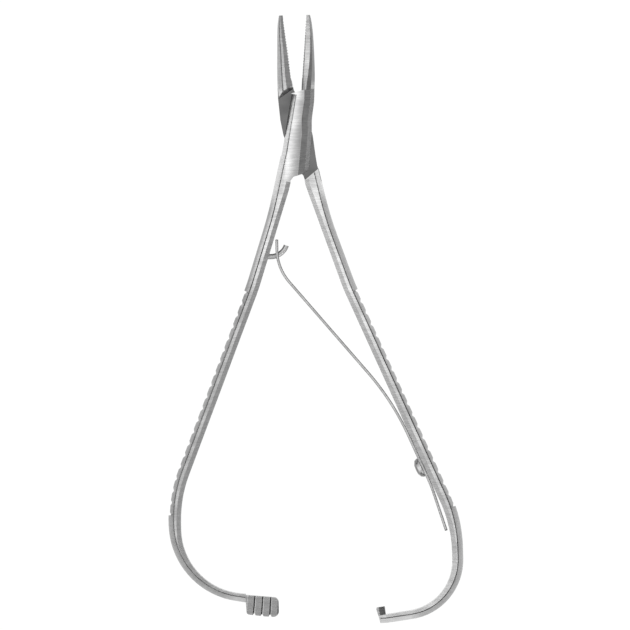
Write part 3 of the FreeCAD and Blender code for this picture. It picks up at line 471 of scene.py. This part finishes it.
class STAGE_OT_build(bpy.types.Operator):
    """Builds the floor, the lights and the camera"""

    bl_idname = "needle_holder.stage"
    bl_label = "Studio"

    def execute(self, context):
        settings = context.scene.needle_stage
        self.floor(settings)
        self.lights(settings, context.scene)
        self.camera(context.scene)
        context.scene.view_settings.view_transform = "Standard"
        return {"FINISHED"}

    def floor(self, settings):
        """A square sheet under the instrument."""
        signs = ((-1, -1), (1, -1), (1, 1), (-1, 1))
        mesh = bpy.data.meshes.new("floor")
        mesh.from_pydata([(x * FLOOR_HALF, y * FLOOR_HALF, 0) for x, y in signs], [], [(0, 1, 2, 3)])
        floor = bpy.data.objects.new("floor", mesh)
        finished(floor, self.paper(settings.floor_colour))

    def paper(self, colour):
        """Paper that camera, gloss and glass see as nearly white, and other light as it is."""
        # Pale paper gives the eye an empty white ground, and the steel a light floor to reflect.
        material, tree = new_material("pale paper")
        rays = add_node(tree, "ShaderNodeLightPath", {}).outputs
        seen = rays["Is Camera Ray"]
        for kind in ("Is Glossy Ray", "Is Transmission Ray"):
            settings = {"operation": "ADD", "use_clamp": True, 0: seen, 1: rays[kind]}
            seen = add_node(tree, "ShaderNodeMath", settings).outputs[0]
        settings = {"operation": "MULTIPLY", 0: seen, 1: PAPER_GLOW_SHARE}
        share = add_node(tree, "ShaderNodeMath", settings).outputs[0]
        matt = add_node(tree, "ShaderNodeBsdfDiffuse", {"Color": hex_to_linear(colour)}).outputs[0]
        settings = {"Color": hex_to_linear(WHITE), "Strength": PAPER_GLOW}
        glow = add_node(tree, "ShaderNodeEmission", settings).outputs[0]
        mix = add_node(tree, "ShaderNodeMixShader", {0: share, 1: matt, 2: glow}).outputs[0]
        add_node(tree, "ShaderNodeOutputMaterial", {"Surface": mix})
        return material

    def lights(self, settings, scene):
        """A softbox above, two low lights, and a grey studio that is brighter on the left."""
        for name, setting, size, place in LAMPS:
            self.area(name, getattr(settings, setting), size, place, scene)
        world = bpy.data.worlds.new("studio")
        scene.world = world
        world.use_nodes = True
        tree = world.node_tree
        direction = add_node(tree, "ShaderNodeTexCoord", {}).outputs["Generated"]
        right = add_node(tree, "ShaderNodeSeparateXYZ", {0: direction}).outputs[0]
        span = {"From Min": -STUDIO_EDGE, "From Max": STUDIO_EDGE, "Value": right}
        span |= {"To Min": settings.surround_left, "To Max": settings.surround_right}
        level = add_node(tree, "ShaderNodeMapRange", span).outputs[0]
        background = tree.nodes["Background"]
        background.inputs["Color"].default_value = hex_to_linear(WHITE)
        tree.links.new(level, background.inputs["Strength"])

    def area(self, name, power, size, place, scene):
        """A square area light that faces the instrument."""
        data = bpy.data.lights.new(name, "AREA")
        data.energy = power
        data.size = size
        lamp = bpy.data.objects.new(name, data)
        lamp.location = place
        lamp.rotation_euler = (-Vector(place)).to_track_quat("-Z", "Y").to_euler()
        scene.collection.objects.link(lamp)

    def camera(self, scene):
        """A long lens straight above, rolled as the photograph is. The frame's width is at the front face."""
        data = bpy.data.cameras.new("camera")
        data.sensor_width = CAMERA_SENSOR_MM
        data.lens = CAMERA_SENSOR_MM * CAMERA_DISTANCE / (FRAME_WIDTH_MM * MM)
        data.clip_start, data.clip_end = CAMERA_CLIP
        camera = bpy.data.objects.new("camera", data)
        camera.location = PIVOT + Vector(FRAME_MIDDLE) * MM + Vector((0, 0, CAMERA_DISTANCE))
        camera.rotation_euler = (0, 0, math.radians(CAMERA_ROLL_DEGREES))
        scene.collection.objects.link(camera)
        scene.camera = camera


class HALVES_OT_dress(bpy.types.Operator):
    """Gives the two forged halves and the pivot rivet their satin steel"""

    bl_idname = "needle_holder.halves"
    bl_label = "Forged halves"

    def execute(self, context):
        s = context.scene.needle_steel
        satin = (s.satin_colour, s.satin_roughness, s.grain)
        # Satin steel, ground with a belt, with painted shade that darkens it to the right, which makes the flat
        # box look rounded.
        box = steel("satin stainless steel", *satin, grain_depth=0.25, grind_and_painted_light=box_grind_and_painted_light)
        # The same steel, with painted shade on the tenon's faces, which makes the box's windows look deep.
        tenon = steel("milled stainless steel", *satin, grain_depth=0.25, grind_and_painted_light=tenon_grind_and_painted_light)
        dress("box_half", box)
        dress("pivot_rivet", box)
        dress("tenon_half", tenon)
        return {"FINISHED"}


class FITTINGS_OT_dress(bpy.types.Operator):
    """Gives the horn and the screw their polished steel"""

    bl_idname = "needle_holder.fittings"
    bl_label = "Horn and screw"

    def execute(self, context):
        s = context.scene.needle_steel
        polish = (s.polished_colour, s.polished_roughness, s.grain)
        # Polished steel, with painted shade in its darker grey at the edges and one painted highlight band,
        # which makes the horn and the screw look round.
        polished = steel(
            "polished stainless steel", *polish, grain_depth=0.08, unevenness=0.0, grind_and_painted_light=polished_painted_highlight
        )
        dress("spring_screw", polished)
        dress("spring_horn", polished)
        return {"FINISHED"}


class SPRING_OT_build(bpy.types.Operator):
    """Builds the leaf spring that bends between the two handles"""

    bl_idname = "needle_holder.spring"
    bl_label = "Leaf spring"

    def execute(self, context):
        s = context.scene.needle_steel
        sizes = context.scene.needle_spring
        # Brushed spring steel is greyer than the halves, which sets the thin strip off from the handle.
        material = steel("brushed spring steel", s.spring_colour, s.satin_roughness, s.grain, grain_depth=0.2)
        spring = bpy.data.objects.new("bent_leaf_spring", self.strip(sizes))
        spring.data.polygons.foreach_set("use_smooth", [True] * len(spring.data.polygons))
        finished(spring, material)
        solid = spring.modifiers.new("thickness", "SOLIDIFY")
        solid.thickness = sizes.thickness
        solid.offset = 0
        edge = spring.modifiers.new("eased edges", "BEVEL")
        edge.width = SPRING_EASED_EDGE * MM
        edge.segments = 2
        edge.limit_method = "ANGLE"
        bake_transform(spring)
        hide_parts("leaf_spring")
        return {"FINISHED"}

    def strip(self, sizes):
        """The strip's middle surface: point(s, v) is the path at length s, raised across the strip by v.

        The width grows in a straight line with the level below the pivot. A slot is left open for the horn.
        """
        path = rounded_path(SPRING_CORNERS, SPRING_POINT_SPACING)
        below = -path[:, 1]
        half = np.interp(below, SPRING_TAPER, (sizes.tip_width / 2, sizes.width / 2))
        slot = np.full_like(half, sizes.slot_width / 2)
        points = np.zeros((len(path), 4, 3))
        points[:, :, :2] = path[:, None, :] * MM
        points[:, :, 2] = np.stack([-half, -slot, slot, half], axis=1)
        in_slot = (below[:-1] > SPRING_SLOT[0]) & (below[:-1] < SPRING_SLOT[1])
        keep = np.ones((len(path) - 1, 3), bool)
        keep[in_slot, 1] = False
        return sheet_mesh("bent_leaf_spring", points + np.array(PIVOT), keep)


class VIEW3D_PT_needle_holder(bpy.types.Panel):
    """Sizes, colours and steps of the needle holder"""

    bl_label = "Needle holder"
    bl_space_type = "VIEW_3D"
    bl_region_type = "UI"
    bl_category = "Needle holder"

    def draw(self, context):
        scene = context.scene
        for group in (scene.needle_stage, scene.needle_steel, scene.needle_spring):
            for name in group.__annotations__:
                self.layout.prop(group, name)
        for step in STEPS:
            self.layout.operator(step.bl_idname)


STEPS = (HALVES_OT_dress, FITTINGS_OT_dress, SPRING_OT_build, STAGE_OT_build)
CLASSES = (StageSettings, SteelSettings, SpringSettings, *STEPS, VIEW3D_PT_needle_holder)


def register():
    for cls in CLASSES:
        bpy.utils.register_class(cls)
    bpy.types.Scene.needle_stage = bpy.props.PointerProperty(type=StageSettings)
    bpy.types.Scene.needle_steel = bpy.props.PointerProperty(type=SteelSettings)
    bpy.types.Scene.needle_spring = bpy.props.PointerProperty(type=SpringSettings)


def unregister():
    del bpy.types.Scene.needle_spring
    del bpy.types.Scene.needle_steel
    del bpy.types.Scene.needle_stage
    for cls in reversed(CLASSES):
        bpy.utils.unregister_class(cls)


def main():
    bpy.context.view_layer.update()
    register()
    bpy.ops.needle_holder.halves()
    bpy.ops.needle_holder.fittings()
    bpy.ops.needle_holder.spring()
    bpy.ops.needle_holder.stage()


if __name__ == "__main__":
    main()
